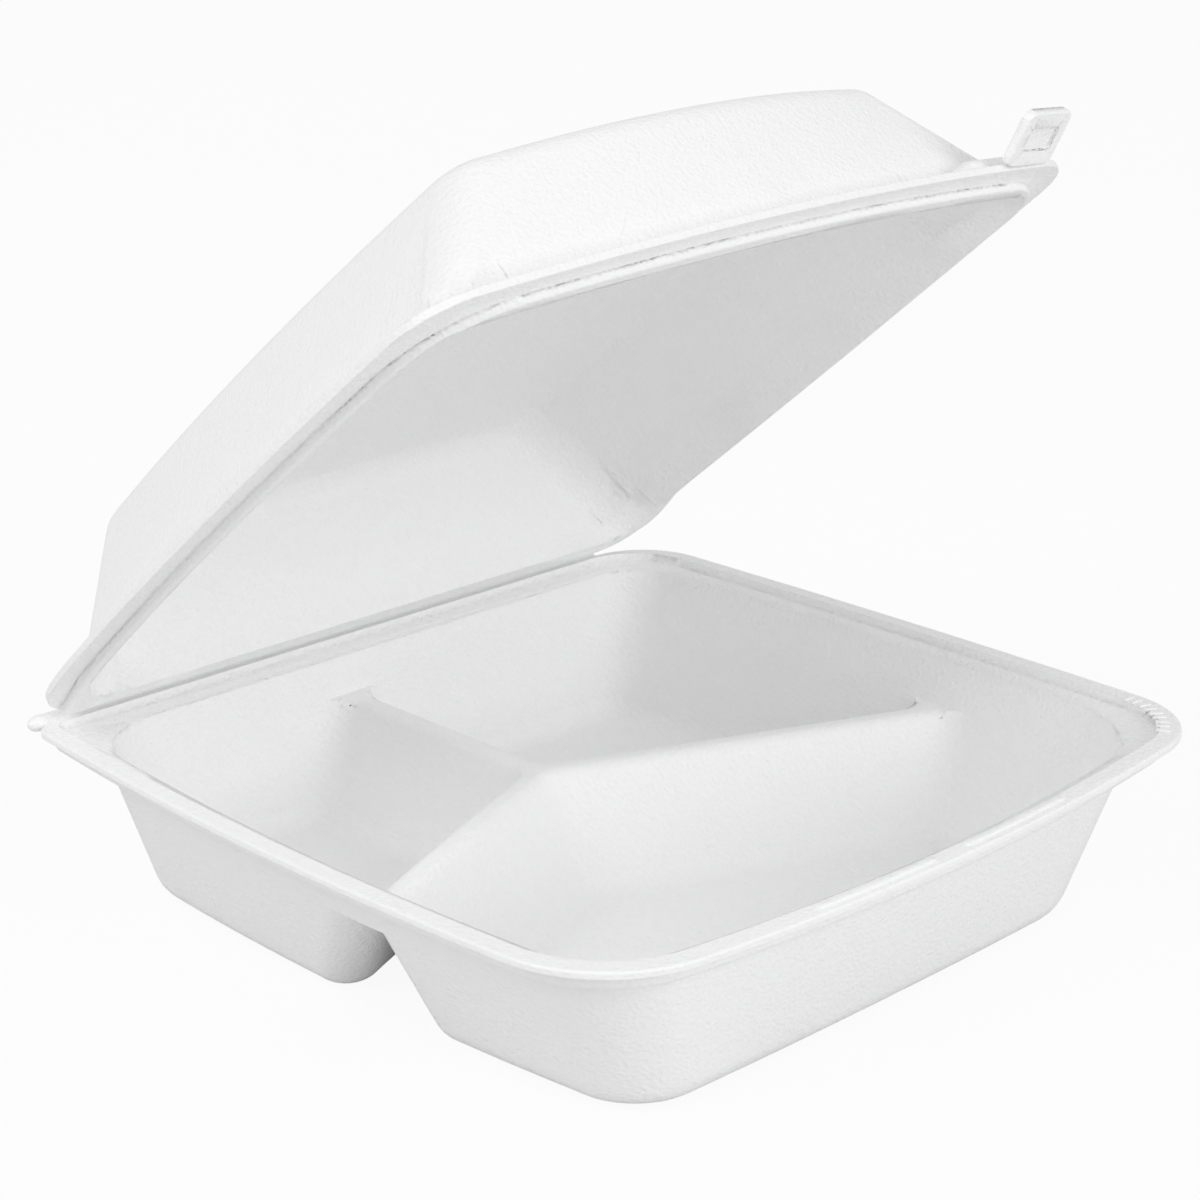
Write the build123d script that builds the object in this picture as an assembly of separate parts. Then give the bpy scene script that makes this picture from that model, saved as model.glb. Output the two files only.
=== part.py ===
from build123d import *
import math
import os

# Foam takeaway container with three compartments and a hinged lid, formed from one foam sheet.
# Millimetres. The origin lies on the table, under the middle of the large front compartment.
# X runs along the hinge, +Y points to the hinge, +Z points up. The lid stands partly open.

# Whole container
tray_width = 211.0
tray_depth = 202.0
tray_height = 44.0
lid_height = 37.0
lid_open_angle = 40.0
foot_to_hinge = 141.0

# Foam sheet, and the gap between the closed rims
foam_wall = 2.3
mating_gap = 0.3

# Outline of the rim, which bulges a little at the sides and the front
left_bow = 5.0
right_bow = 1.8
front_bow = 8.6
rim_front_left_corner = 32.0
rim_front_right_corner = 25.0
rim_back_left_corner = 5.0
rim_back_right_corner = 20.0

# Cross-section of the rim, from its outer edge inwards
lip_width = 4.6
lip_thickness = 2.0
lip_round = 0.6
step_run = 0.7
ledge_drop = 2.2
ledge_width = 4.4
ledge_fall = 1.0
back_lip_width = 1.6
collar_inset = 3.2
collar_depth = 6.4
collar_round = 2.4

# Hinge, a crushed and rolled line of foam behind the rims
hinge_length = 184.0
hinge_offset = -6.5
hinge_bead_radius = 1.6
hinge_gap = 0.3
hinge_web_thickness = 1.2

# Walls of the tray. The drafts are degrees from upright.
tray_left_draft = 20.5
tray_right_draft = 24.0
tray_front_draft = 16.8
tray_back_draft = 9.0
tub_front_left_corner = 22.0
tub_front_right_corner = 27.0
tub_back_left_corner = 20.0
tub_back_right_corner = 13.0
tub_corner_loss = 5.0
base_taper = 2.5
floor_round = 6.5

# Hollow Y-shaped divider
ridge_drop = 13.0
ridge_width = 5.6
divider_draft = 22.0
apex_offset_share = -0.052
apex_from_hinge_share = 0.4
arm_slope = 22.5
well_corner = 7.5
apex_corner = 8.0
apex_zone_share = 0.17

# Walls of the lid
lid_side_draft = 37.0
lid_front_draft = 9.5
lid_back_draft = 5.0
lid_back_set = 1.5
lid_crown_taper = 3.0
lid_front_corner = 11.0
lid_back_corner = 12.0
lid_crown_round = 6.0

# Corners of the lid's flange, which are tighter at the front than the tray's
flange_front_corner = 17.0
flange_back_corner = 17.0

# Ring under the lid's rim, which nests inside the step of the tray's rim
ring_clearance = 0.4
ring_height = 2.0
ring_round = 0.7

# Lift tab near the right end of the lid's front edge
tab_width = 19.0
tab_length = 13.0
tab_thickness = 2.2
tab_root = 0.8
tab_from_side = 25.5
tab_rim_overlap = 4.0
tab_skew = 9.0
tab_tilt = 27.0
tab_corner = 2.6
tab_border = 3.4
tab_recess = 0.9

# Places worked out from the sizes above
hinge_y = foot_to_hinge
hinge_z = tray_height
rim_back_y = hinge_y - hinge_bead_radius - hinge_gap
rim_top = hinge_z - mating_gap / 2
ledge_inset = lip_width + step_run
wall_inset = ledge_inset + ledge_width
back_ledge_inset = back_lip_width + step_run
back_wall_inset = back_ledge_inset + ledge_width
ledge_inner_drop = ledge_drop + ledge_fall
lid_plane = hinge_z + mating_gap / 2
overrun = foam_wall * 2
apex_zone = tray_width * apex_zone_share
apex_x = tray_width * apex_offset_share
apex_y = hinge_y - tray_depth * apex_from_hinge_share


def outline(insets, corners, z, flatness=0, taper=0):
    """Rim outline moved inwards, as a flat face at a height.

    insets are left, right, front and back. corners are the radii front left, front right, back
    right and back left. flatness takes the bow out of the front edge. taper moves the front
    corners inwards and the back corners outwards.
    """
    left = insets[0] - tray_width / 2
    right = tray_width / 2 - insets[1]
    front_y = hinge_y - tray_depth + insets[2]
    back_y = rim_back_y - insets[3]
    middle_y = (back_y + front_y) / 2
    corner_y = front_y + front_bow * (1 - flatness)
    places = [
        (left + left_bow + taper, corner_y),
        (right - right_bow - taper, corner_y),
        (right - right_bow + taper, back_y),
        (left + left_bow - taper, back_y),
    ]
    edges = ThreePointArc(places[1], (right, middle_y), places[2])
    edges += Line(places[2], places[3])
    edges += ThreePointArc(places[3], (left, middle_y), places[0])
    if flatness < 1:
        edges += ThreePointArc(places[0], ((left + right) / 2, front_y), places[1])
    else:
        edges += Line(places[0], places[1])
    face = make_face(edges)
    for place, radius in zip(places, corners):
        face = fillet(face.vertices().sort_by_distance(place)[0], radius)
    return Pos(0, 0, z) * face


def rim_section(inset, back_inset, z):
    """Rim outline moved inwards evenly, with its corners kept parallel."""
    return outline(
        (inset, inset, inset, back_inset),
        (
            rim_front_left_corner - inset,
            rim_front_right_corner - inset,
            max(rim_back_right_corner - back_inset, lip_round),
            max(rim_back_left_corner - back_inset, lip_round),
        ),
        z,
    )


def rim_plate(inset, back_inset, low, high):
    """Plate that follows the rim outline between two heights."""
    return extrude(rim_section(inset, back_inset, low), high - low)


def slope(run, angle):
    """Sideways run of a wall that leans by an angle from upright."""
    return run * math.tan(math.radians(angle))


def tub_section(drop, skin, z):
    """Outline of the tray's tub at a drop below the ledge. skin moves it outwards."""
    share = drop / (tray_height - ledge_inner_drop)
    grown = skin - tub_corner_loss * share
    return outline(
        (
            wall_inset - skin + slope(drop, tray_left_draft),
            wall_inset - skin + slope(drop, tray_right_draft),
            wall_inset - skin + slope(drop, tray_front_draft),
            back_wall_inset - skin + slope(drop, tray_back_draft),
        ),
        (
            tub_front_left_corner + grown,
            tub_front_right_corner + grown,
            tub_back_right_corner + grown,
            tub_back_left_corner + grown,
        ),
        z,
        share,
        base_taper * share,
    )


def tub(skin, low):
    """Drafted tub below the ledge."""
    high = rim_top - ledge_inner_drop
    return loft([tub_section(0, skin, high), tub_section(high - low, skin, low)], ruled=True)


def divider_arm(angle, top, skin):
    """Drafted ridge that runs from the apex past the wall, along a direction in plan."""
    half_top = ridge_width / 2 + slope(rim_top - ridge_drop - top, divider_draft)
    half_top -= skin / math.cos(math.radians(divider_draft))
    half_low = half_top + slope(top + overrun, divider_draft)
    section = Plane.YZ * make_face(
        Polyline(
            (-half_top, top),
            (half_top, top),
            (half_low, -overrun),
            (-half_low, -overrun),
            close=True,
        )
    )
    arm = extrude(section, tray_width)
    return Pos(apex_x, apex_y, 0) * Rot(0, 0, angle) * arm


def three_wells(skin, low, top):
    """Tub with the Y-shaped divider taken out of it, and every well corner rounded."""
    arms = divider_arm(90, top, skin)
    arms += divider_arm(180 + arm_slope, top, skin)
    arms += divider_arm(-arm_slope, top, skin)
    wells = tub(skin, low) - arms
    apex = Vector(apex_x, apex_y, 0)

    def uprights(solid):
        found = []
        for edge in solid.edges():
            box = edge.bounding_box()
            if abs(box.min.Z - low) < lip_round and abs(box.max.Z - top) < lip_round:
                found.append(edge)
        return found

    def from_apex(edge):
        centre = edge.center()
        return (Vector(centre.X, centre.Y, 0) - apex).length

    far = [edge for edge in uprights(wells) if from_apex(edge) > apex_zone]
    wells = fillet(far, well_corner + skin)
    near = [edge for edge in uprights(wells) if from_apex(edge) < apex_zone]
    wells = fillet(near, apex_corner + skin)
    floors = [edge for edge in wells.edges() if edge.bounding_box().max.Z < low + lip_round / 2]
    return fillet(floors, floor_round + skin)


def tray_body():
    """The tray: three wells under a stepped rim."""
    ridge_top = rim_top - ridge_drop
    outside = three_wells(foam_wall, 0, ridge_top - foam_wall)
    inside = three_wells(0, foam_wall, ridge_top)
    collar = rim_plate(collar_inset, back_lip_width, rim_top - collar_depth, rim_top - lip_thickness)
    collar = fillet(collar.edges().group_by(Axis.Z)[0], collar_round)
    lip = rim_plate(0, 0, rim_top - lip_thickness, rim_top)
    lip = fillet(lip.edges().group_by(Axis.Z)[-1], lip_round)
    lip = fillet(lip.edges().group_by(Axis.Z)[0], lip_round)
    mouth = loft(
        [
            rim_section(lip_width, back_lip_width, rim_top),
            rim_section(ledge_inset, back_ledge_inset, rim_top - ledge_drop),
            tub_section(0, 0, rim_top - ledge_inner_drop),
        ],
        ruled=True,
    )
    return outside + collar + lip - inside - mouth


def hinge_bead():
    """Rolled line of foam on the hinge axis, with the web that joins it to the tray's rim."""
    bead = Cylinder(hinge_bead_radius, hinge_length, rotation=(0, 90, 0))
    bead = fillet(bead.edges(), hinge_bead_radius / 2)
    web_run = hinge_y - rim_back_y + back_lip_width / 2
    web = Box(
        hinge_length - hinge_bead_radius,
        web_run,
        hinge_web_thickness,
        align=(Align.CENTER, Align.MAX, Align.MAX),
    )
    return Pos(hinge_offset, hinge_y, hinge_z) * bead + Pos(hinge_offset, hinge_y, rim_top) * web


def lid_section(rise, skin, z):
    """Outline of the lid's walls at a rise above the rim. skin moves it outwards."""
    side = wall_inset - skin + slope(rise, lid_side_draft)
    return outline(
        (
            side,
            side,
            wall_inset - skin + slope(rise, lid_front_draft),
            back_wall_inset + lid_back_set - skin + slope(rise, lid_back_draft),
        ),
        (
            lid_front_corner + skin,
            lid_front_corner + skin,
            lid_back_corner + skin,
            lid_back_corner + skin,
        ),
        z,
        taper=lid_crown_taper * rise / lid_height,
    )


def flange_plate(inset, back_inset, low, high):
    """Plate that follows the outline of the lid's flange between two heights."""
    front = flange_front_corner - inset
    back = flange_back_corner - back_inset
    face = outline((inset, inset, inset, back_inset), (front, front, back, back), low)
    return extrude(face, high - low)


def lid_form(skin, low, high):
    """Solid inside the lid's walls, with its crown's edge rounded."""
    form = loft(
        [
            lid_section(low - lid_plane, skin, low),
            lid_section(high - lid_plane, skin, high),
        ],
        ruled=True,
    )
    return fillet(form.edges().group_by(Axis.Z)[-1], lid_crown_round + skin)


def lift_tab():
    """Tab that leans up and out from the lid's front edge, with a sunk thumb panel underneath."""
    face = RectangleRounded(tab_width, tab_length + tab_root, tab_corner)
    plate = Pos(0, -(tab_length - tab_root) / 2, 0) * extrude(face, tab_thickness / 2, both=True)
    plate = fillet(plate.edges().group_by(Axis.Z)[0], tab_recess / 2)
    panel = RectangleRounded(
        tab_width - tab_border * 2,
        tab_length - tab_border * 2,
        tab_corner / 2,
    )
    sink = extrude(Pos(0, -(tab_length - tab_root) / 2, -tab_thickness / 2) * panel, tab_recess)
    plate -= sink
    rise = tab_thickness / 2 + slope(tab_root, tab_tilt)
    return (
        Pos(tray_width / 2 - tab_from_side, hinge_y - tray_depth + tab_rim_overlap, lid_plane + rise)
        * Rot(0, 0, tab_skew)
        * Rot(-tab_tilt, 0, 0)
        * plate
    )


def lid_body():
    """The lid as it lies when closed: a stepped rim, a nesting ring and a domed shell."""
    outside = lid_form(foam_wall, lid_plane, lid_plane + lid_height)
    inside = lid_form(0, lid_plane - ring_height, lid_plane + lid_height - foam_wall)
    lip = flange_plate(0, 0, lid_plane, lid_plane + lip_thickness)
    lip = fillet(lip.edges().group_by(Axis.Z)[-1], lip_round)
    lip = fillet(lip.edges().group_by(Axis.Z)[0], lip_round / 2)
    collar = flange_plate(collar_inset, back_lip_width, lid_plane + lip_thickness, lid_plane + collar_depth)
    collar = fillet(collar.edges().group_by(Axis.Z)[-1], collar_round)
    ring = rim_plate(
        ledge_inset + ring_clearance,
        back_ledge_inset + ring_clearance,
        lid_plane - ring_height,
        lid_plane,
    )
    ring = fillet(ring.edges().group_by(Axis.Z)[0], ring_round)
    return outside + lip + collar + ring - inside + lift_tab()


def opened(part):
    """Turn a piece about the hinge axis from closed to how the lid stands."""
    to_axis = Pos(0, hinge_y, hinge_z)
    return to_axis * Rot(-lid_open_angle, 0, 0) * to_axis.inverse() * part


os.makedirs("parts", exist_ok=True)
export_step(tray_body() + hinge_bead(), "parts/tray.step")
export_step(opened(lid_body()), "parts/lid.step")
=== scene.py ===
# %% [markdown]
# # A foam clamshell container
# The real container is one sheet of expanded polystyrene foam, heated and pressed between two
# moulds. It has a tray with three wells, a lid, and a crushed line of foam between them that bends.
# The measured model comes first, because every surface made later sits on it.

# %% Load the measured model
import math

import bmesh
import bpy
from mathutils import Matrix, Vector


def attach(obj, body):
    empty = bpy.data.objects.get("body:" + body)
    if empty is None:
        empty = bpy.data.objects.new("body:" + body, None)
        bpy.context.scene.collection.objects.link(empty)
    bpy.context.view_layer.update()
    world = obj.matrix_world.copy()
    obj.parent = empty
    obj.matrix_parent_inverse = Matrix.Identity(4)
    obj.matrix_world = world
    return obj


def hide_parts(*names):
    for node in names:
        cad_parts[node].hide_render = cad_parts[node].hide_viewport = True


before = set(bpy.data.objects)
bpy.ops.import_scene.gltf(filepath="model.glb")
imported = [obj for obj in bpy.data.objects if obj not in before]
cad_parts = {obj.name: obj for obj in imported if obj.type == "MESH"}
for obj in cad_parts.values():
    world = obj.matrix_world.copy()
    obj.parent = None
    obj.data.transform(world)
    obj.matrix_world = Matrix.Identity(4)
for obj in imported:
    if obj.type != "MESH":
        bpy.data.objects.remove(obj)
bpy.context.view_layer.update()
MM = 0.001
scene = bpy.context.scene

# %% [markdown]
# ## Camera
# The photograph looks down at about 19 degrees, from the container's left and front. A fairly long
# lens keeps the edges nearly parallel. The camera is given by the direction it looks from, its
# distance and the point in the middle of its view, because those are easy to correct by eye.

# %% Camera
camera_azimuth = -44.334
camera_elevation = 19.277
camera_distance = 678.63 * MM
camera_aim = Vector((2.98, 53.13, 72.07)) * MM
camera_lens = 85.775


def direction(azimuth, elevation):
    """Unit vector from the object towards a place seen at these angles, in degrees."""
    a, e = math.radians(azimuth), math.radians(elevation)
    return Vector((math.sin(a) * math.cos(e), -math.cos(a) * math.cos(e), math.sin(e)))


camera = bpy.data.objects.new("camera", bpy.data.cameras.new("camera"))
scene.collection.objects.link(camera)
camera.location = camera_aim + direction(camera_azimuth, camera_elevation) * camera_distance
camera.rotation_mode = "QUATERNION"
camera.rotation_quaternion = (camera_aim - camera.location).to_track_quat("-Z", "Y")
camera.data.sensor_width = 36
camera.data.lens = camera_lens
scene.camera = camera
print("camera at", [round(v, 3) for v in camera.location])

# %% [markdown]
# ## Nodes in a few words
# A material is a small graph of nodes. One function adds a node with its settings and links, so
# that each material below reads as a list. Colours are written as sRGB hex values, as a painter
# would pick them, and one function turns them into the linear values that light adds up in.

# %% Helpers for materials


def linear(hex_colour):
    """Linear RGBA of an sRGB hex colour."""
    channels = [int(hex_colour[i:i + 2], 16) / 255 for i in (1, 3, 5)]
    return [c / 12.92 if c <= 0.04045 else ((c + 0.055) / 1.055) ** 2.4 for c in channels] + [1]


def node(tree, kind, inputs=None, **settings):
    """Adds a node. inputs maps a socket's name or number to a value or to another socket."""
    made = tree.nodes.new(kind)
    for name, value in settings.items():
        setattr(made, name, value)
    for name, value in (inputs or {}).items():
        if isinstance(value, bpy.types.NodeSocket):
            tree.links.new(value, made.inputs[name])
        else:
            made.inputs[name].default_value = value
    return made


def new_material(name):
    """Empty node material and its tree."""
    material = bpy.data.materials.new(name)
    material.use_nodes = True
    material.node_tree.nodes.clear()
    return material, material.node_tree


# %% [markdown]
# ## Expanded polystyrene foam sheet
# The sheet is a froth of closed cells, each a few tenths of a millimetre wide, with a thin skin.
# Light goes in, scatters between the cells and comes out again, so the foam looks soft and very
# white, and its shadows are pale. The skin gives a faint satin gloss. Here the cells are a Voronoi
# pattern at 0.9 mm, a little coarser than the real ones so that the picture can show them.

# %% Foam material
cell_size = 0.9
cell_grain_depth = 0.24
orange_peel_size = 3.5
orange_peel_depth = 0.12
foam_white = "#FDFDFD"
foam_roughness = 0.5


def foam_material(name, colour, roughness, cell_depth):
    """Foam skin with a fine cell grain. cell_depth is the grain's depth in millimetres."""
    material, tree = new_material(name)
    place = node(tree, "ShaderNodeTexCoord").outputs["Object"]
    cells = node(tree, "ShaderNodeTexVoronoi", {"Vector": place, "Scale": 1 / (cell_size * MM)},
                 feature="SMOOTH_F1")
    peel = node(tree, "ShaderNodeTexNoise",
                {"Vector": place, "Scale": 1 / (orange_peel_size * MM), "Detail": 3.0})
    grain = node(tree, "ShaderNodeBump",
                 {"Height": cells.outputs["Distance"], "Strength": 1.0,
                  "Distance": cell_depth * MM})
    skin = node(tree, "ShaderNodeBump",
                {"Height": peel.outputs["Fac"], "Strength": 1.0, "Distance": orange_peel_depth * MM,
                 "Normal": grain.outputs["Normal"]})
    shader = node(tree, "ShaderNodeBsdfPrincipled",
                  {"Base Color": linear(colour), "Roughness": roughness, "IOR": 1.45,
                   "Normal": skin.outputs["Normal"]})
    node(tree, "ShaderNodeOutputMaterial", {"Surface": shader.outputs["BSDF"]})
    return material


foam = foam_material("expanded_polystyrene_sheet", foam_white, foam_roughness, cell_grain_depth)
print("foam ready")

# %% [markdown]
# ## One skin from the measured surfaces
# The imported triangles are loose. Merged, they give one closed skin, and joining the triangles of
# each flat area leaves clean edges that can be rounded. Pressed foam has no sharp edge: it bends
# over every ridge with a radius near its own thickness. Cutting a skin into strips gives it enough
# points to bend.

# %% Merge, round and cut
hinge = Vector((0, 141.0, 44.0)) * MM
open_angle = 40
weld_distance = 0.002
flat_angle = 0.4
sharp_angle = 25
shut = (Matrix.Translation(hinge) @ Matrix.Rotation(math.radians(open_angle), 4, "X")
          @ Matrix.Translation(-hinge))


def skin_of(name):
    """Closed skin of a CAD node with its flat areas joined."""
    form = bmesh.new()
    form.from_mesh(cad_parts[name].data)
    bmesh.ops.remove_doubles(form, verts=form.verts, dist=weld_distance * MM)
    bmesh.ops.dissolve_limit(form, angle_limit=math.radians(flat_angle), verts=form.verts,
                             edges=form.edges, use_dissolve_boundaries=False)
    return form


def soften(form, low, high, width, segments):
    """Rounds the outer sharp edges between two heights, in mm, but not where they run out."""
    level = [e for e in form.edges
             if e.is_manifold and all(low * MM < end.co.z < high * MM for end in e.verts)]
    run_outs = [end.co for e in level if e.calc_face_angle_signed() < -math.radians(sharp_angle)
                for end in e.verts]
    sharp = [e for e in level
             if e.calc_face_angle_signed() > math.radians(sharp_angle)
             and all((end.co - place).length > 3 * width * MM
                     for end in e.verts for place in run_outs)]
    bmesh.ops.bevel(form, geom=sharp, offset=width * MM, offset_type="OFFSET",
                    segments=segments, profile=0.5, affect="EDGES", clamp_overlap=False,
                    material=-1)
    return len(sharp)


def strips(form, axis, start, stop, step):
    """Cuts the skin across an axis at even steps, in millimetres."""
    place = start
    while place < stop:
        at = Vector((0, 0, 0))
        at[axis] = place * MM
        across = Vector((0, 0, 0))
        across[axis] = 1
        bmesh.ops.bisect_plane(form, geom=form.verts[:] + form.edges[:] + form.faces[:],
                               plane_co=at, plane_no=across, dist=0.001 * MM)
        place += step


def shown(form, name, cad_node, sharpest=38):
    """Turns a skin into a shown foam piece that stands for a CAD node."""
    mesh = bpy.data.meshes.new(name)
    form.to_mesh(mesh)
    form.free()
    mesh.shade_smooth()
    mesh.set_sharp_from_angle(angle=math.radians(sharpest))
    mesh.materials.append(foam)
    piece = bpy.data.objects.new(name, mesh)
    scene.collection.objects.link(piece)
    even = piece.modifiers.new("even_shading", "WEIGHTED_NORMAL")
    even.keep_sharp = True
    even.mode = "FACE_AREA"
    even.weight = 100
    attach(piece, cad_node)
    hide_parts(cad_node)
    print(name, len(mesh.polygons), "faces")
    return piece


# %% [markdown]
# ## Tray
# The ridges between the wells are rounded on top, except at their ends, where they run out into
# the outer walls. All the rest of the tray is the measured form.

# %% Tray skin
tray = skin_of("tray")
ridge_low, ridge_high = 30.5, 31.2
ridge_round = 1.9
ridge_segments = 4
ridge_weld = 0.02
print("ridge tops", soften(tray, ridge_low, ridge_high, ridge_round, ridge_segments))
bmesh.ops.remove_doubles(tray, verts=tray.verts, dist=ridge_weld * MM)
shown(tray, "tray_skin", "tray")

# %% [markdown]
# ## Lid
# The lid has sprung out of flat: it stands a little further out than the hinge alone gives, more
# on its right. Its collar is a low band at the sides and nearly nothing at the front. Both are
# easier to give with the lid turned shut, so it is turned, shaped and turned back.

# %% Lid skin
collar_foot = 46.15
collar_top = 50.6
side_collar_share = 0.42
front_collar_loss = 0.34
spring_left = 1.5
spring_more_right = 2.0
spring_run = 24
spring_start = 138
half_width = 105
above_flange = 46.2
below_wall = 52
front_fade_start = 42
front_fade_run = 8
tab_side, tab_other_side = 62, 98
tab_line = -46
lid = skin_of("lid")
bmesh.ops.transform(lid, matrix=shut, verts=lid.verts)
strips(lid, 1, -50, 140, 12)
strips(lid, 0, -90, 100, 18)
for corner in lid.verts:
    x, y, z = (v / MM for v in corner.co)
    on_tab = y < tab_line and tab_side < x < tab_other_side
    if above_flange < z < below_wall and not on_tab:
        front = min(1, max(0, (-y - front_fade_start) / front_fade_run))
        kept = side_collar_share - front_collar_loss * front
        z -= (z - collar_foot) * (1 - kept) if z <= collar_top else 0
    ramp = min(1, max(0, (spring_start - y) / spring_run))
    ramp = ramp * ramp * (3 - 2 * ramp)
    z += ramp * (spring_left + spring_more_right * (x + half_width) / (2 * half_width))
    corner.co = Vector((x, y, z)) * MM
bmesh.ops.transform(lid, matrix=shut.inverted(), verts=lid.verts)
bmesh.ops.triangulate(lid, faces=[f for f in lid.faces if len(f.verts) > 4])
shown(lid, "lid_skin", "lid")

# %% [markdown]
# ## Marks of the mould and of the press
# The front lip carries two low bars where the lid's edge catches, the lip is crimped round its
# front right corner, and the crushed hinge line swells into a small bulb at its left end.

# %% Marks on the rim
rim_top = 43.85
front_lip = -58.0
front_bow = 8.6
corner_centre = Vector((78.0, -29.0, 0))
corner_radius = 22.9
crimp_height = 43.72
crimp_count = 9
crimp_first_angle = -4
crimp_angle_step = 7.0
bar_size = (36, 1.7, 0.9)
bar_round = 0.25
bulb_radius = 2.0
bulb_stretch = 1.7
bulb_place = Vector((-97.6, 141.0, 43.7))


def rounded_block(form, size, width):
    """Adds a small block at the origin with rounded edges. Returns its points."""
    made = bmesh.ops.create_cube(form, size=1)["verts"]
    bmesh.ops.scale(form, vec=Vector(size) * MM, verts=made)
    edges = list({e for point in made for e in point.link_edges})
    made = bmesh.ops.bevel(form, geom=edges, offset=width * MM, offset_type="OFFSET",
                           segments=2, profile=0.5, affect="EDGES", clamp_overlap=True,
                           material=-1)["verts"]
    return made


def small_piece(form, name, body):
    """A small foam piece that moves with a body."""
    mesh = bpy.data.meshes.new(name)
    form.to_mesh(mesh)
    form.free()
    mesh.shade_smooth()
    mesh.set_sharp_from_angle(angle=math.radians(50))
    mesh.materials.append(foam)
    piece = bpy.data.objects.new(name, mesh)
    scene.collection.objects.link(piece)
    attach(piece, body)
    return piece


for number, middle in enumerate((-24.0, 22.0), 1):
    form = bmesh.new()
    rounded_block(form, bar_size, bar_round)
    strips(form, 0, -15, 16, 3)
    for point in form.verts:
        x = point.co.x / MM + middle
        lift = front_bow * (x / half_width) ** 2
        point.co = Vector((x, point.co.y / MM + front_lip + lift, point.co.z / MM + rim_top)) * MM
    small_piece(form, "latch_bar_%d" % number, "tray")

form = bmesh.new()
for step in range(crimp_count):
    turn = math.radians(crimp_first_angle - crimp_angle_step * step)
    crimp = rounded_block(form, (3.4, 1.0 if step % 2 else 1.5, 0.7), 0.22)
    bmesh.ops.rotate(form, cent=(0, 0, 0), matrix=Matrix.Rotation(turn, 3, "Z"), verts=crimp)
    out = Vector((math.cos(turn), math.sin(turn), 0)) * corner_radius
    place = corner_centre + out + Vector((0, 0, crimp_height))
    bmesh.ops.translate(form, verts=crimp, vec=place * MM)
small_piece(form, "rim_crimps", "tray")

form = bmesh.new()
bmesh.ops.create_uvsphere(form, u_segments=24, v_segments=16, radius=bulb_radius * MM)
bmesh.ops.scale(form, vec=(bulb_stretch, 1, 1), verts=form.verts)
bmesh.ops.translate(form, vec=bulb_place * MM, verts=form.verts)
small_piece(form, "hinge_bulb", "tray")
print("marks ready")

# %% [markdown]
# ## Floor and light
# The picture is a plain studio one: white ground, large soft lights, no hard shadow. The floor is
# a wide disc. To the camera it is nearly all white by its own colour, and only a small share of it
# darkens, so that the shadow under the container is very faint.

# %% Floor
floor_radius = 6.0
floor_mesh = bpy.data.meshes.new("floor")
form = bmesh.new()
bmesh.ops.create_circle(form, cap_ends=True, segments=64, radius=floor_radius)
form.to_mesh(floor_mesh)
form.free()
floor = bpy.data.objects.new("floor", floor_mesh)
scene.collection.objects.link(floor)
floor_white, tree = new_material("white_studio_paper")
rays = node(tree, "ShaderNodeLightPath")
seen = node(tree, "ShaderNodeMath", {0: rays.outputs["Is Camera Ray"], 1: 0.93},
            operation="MULTIPLY")
paper = node(tree, "ShaderNodeBsdfDiffuse", {"Color": linear("#E2E2E2")})
white = node(tree, "ShaderNodeEmission", {"Color": linear("#FFFFFF"), "Strength": 1.0})
mix = node(tree, "ShaderNodeMixShader",
           {0: seen.outputs[0], 1: paper.outputs[0], 2: white.outputs[0]})
node(tree, "ShaderNodeOutputMaterial", {"Surface": mix.outputs[0]})
floor_mesh.materials.append(floor_white)

# %% Lights
world = bpy.data.worlds.new("studio")
scene.world = world
world.use_nodes = True
tree = world.node_tree
tree.nodes.clear()
rays = node(tree, "ShaderNodeLightPath")
room = node(tree, "ShaderNodeBackground", {"Color": linear("#FCFCFD"), "Strength": 0.59})
backdrop = node(tree, "ShaderNodeBackground", {"Color": linear("#FFFFFF"), "Strength": 1.0})
seen = node(tree, "ShaderNodeMixShader",
            {0: rays.outputs["Is Camera Ray"], 1: room.outputs[0], 2: backdrop.outputs[0]})
node(tree, "ShaderNodeOutputWorld", {"Surface": seen.outputs[0]})


def softbox(name, azimuth, elevation, distance, size, power):
    """Square area light that points at the middle of the container."""
    data = bpy.data.lights.new(name, "AREA")
    data.shape = "SQUARE"
    data.size = size
    data.energy = power
    lamp = bpy.data.objects.new(name, data)
    scene.collection.objects.link(lamp)
    lamp.location = camera_aim + direction(azimuth, elevation) * distance
    lamp.rotation_mode = "QUATERNION"
    lamp.rotation_quaternion = (camera_aim - lamp.location).to_track_quat("-Z", "Y")
    return lamp


softbox("front_softbox", 8, 23, 1.8, 1.0, 9.5)
softbox("left_softbox", -100, 42, 1.8, 1.2, 10.5)
print("lights ready")

scene.view_settings.view_transform = "Standard"
bpy.context.view_layer.update()
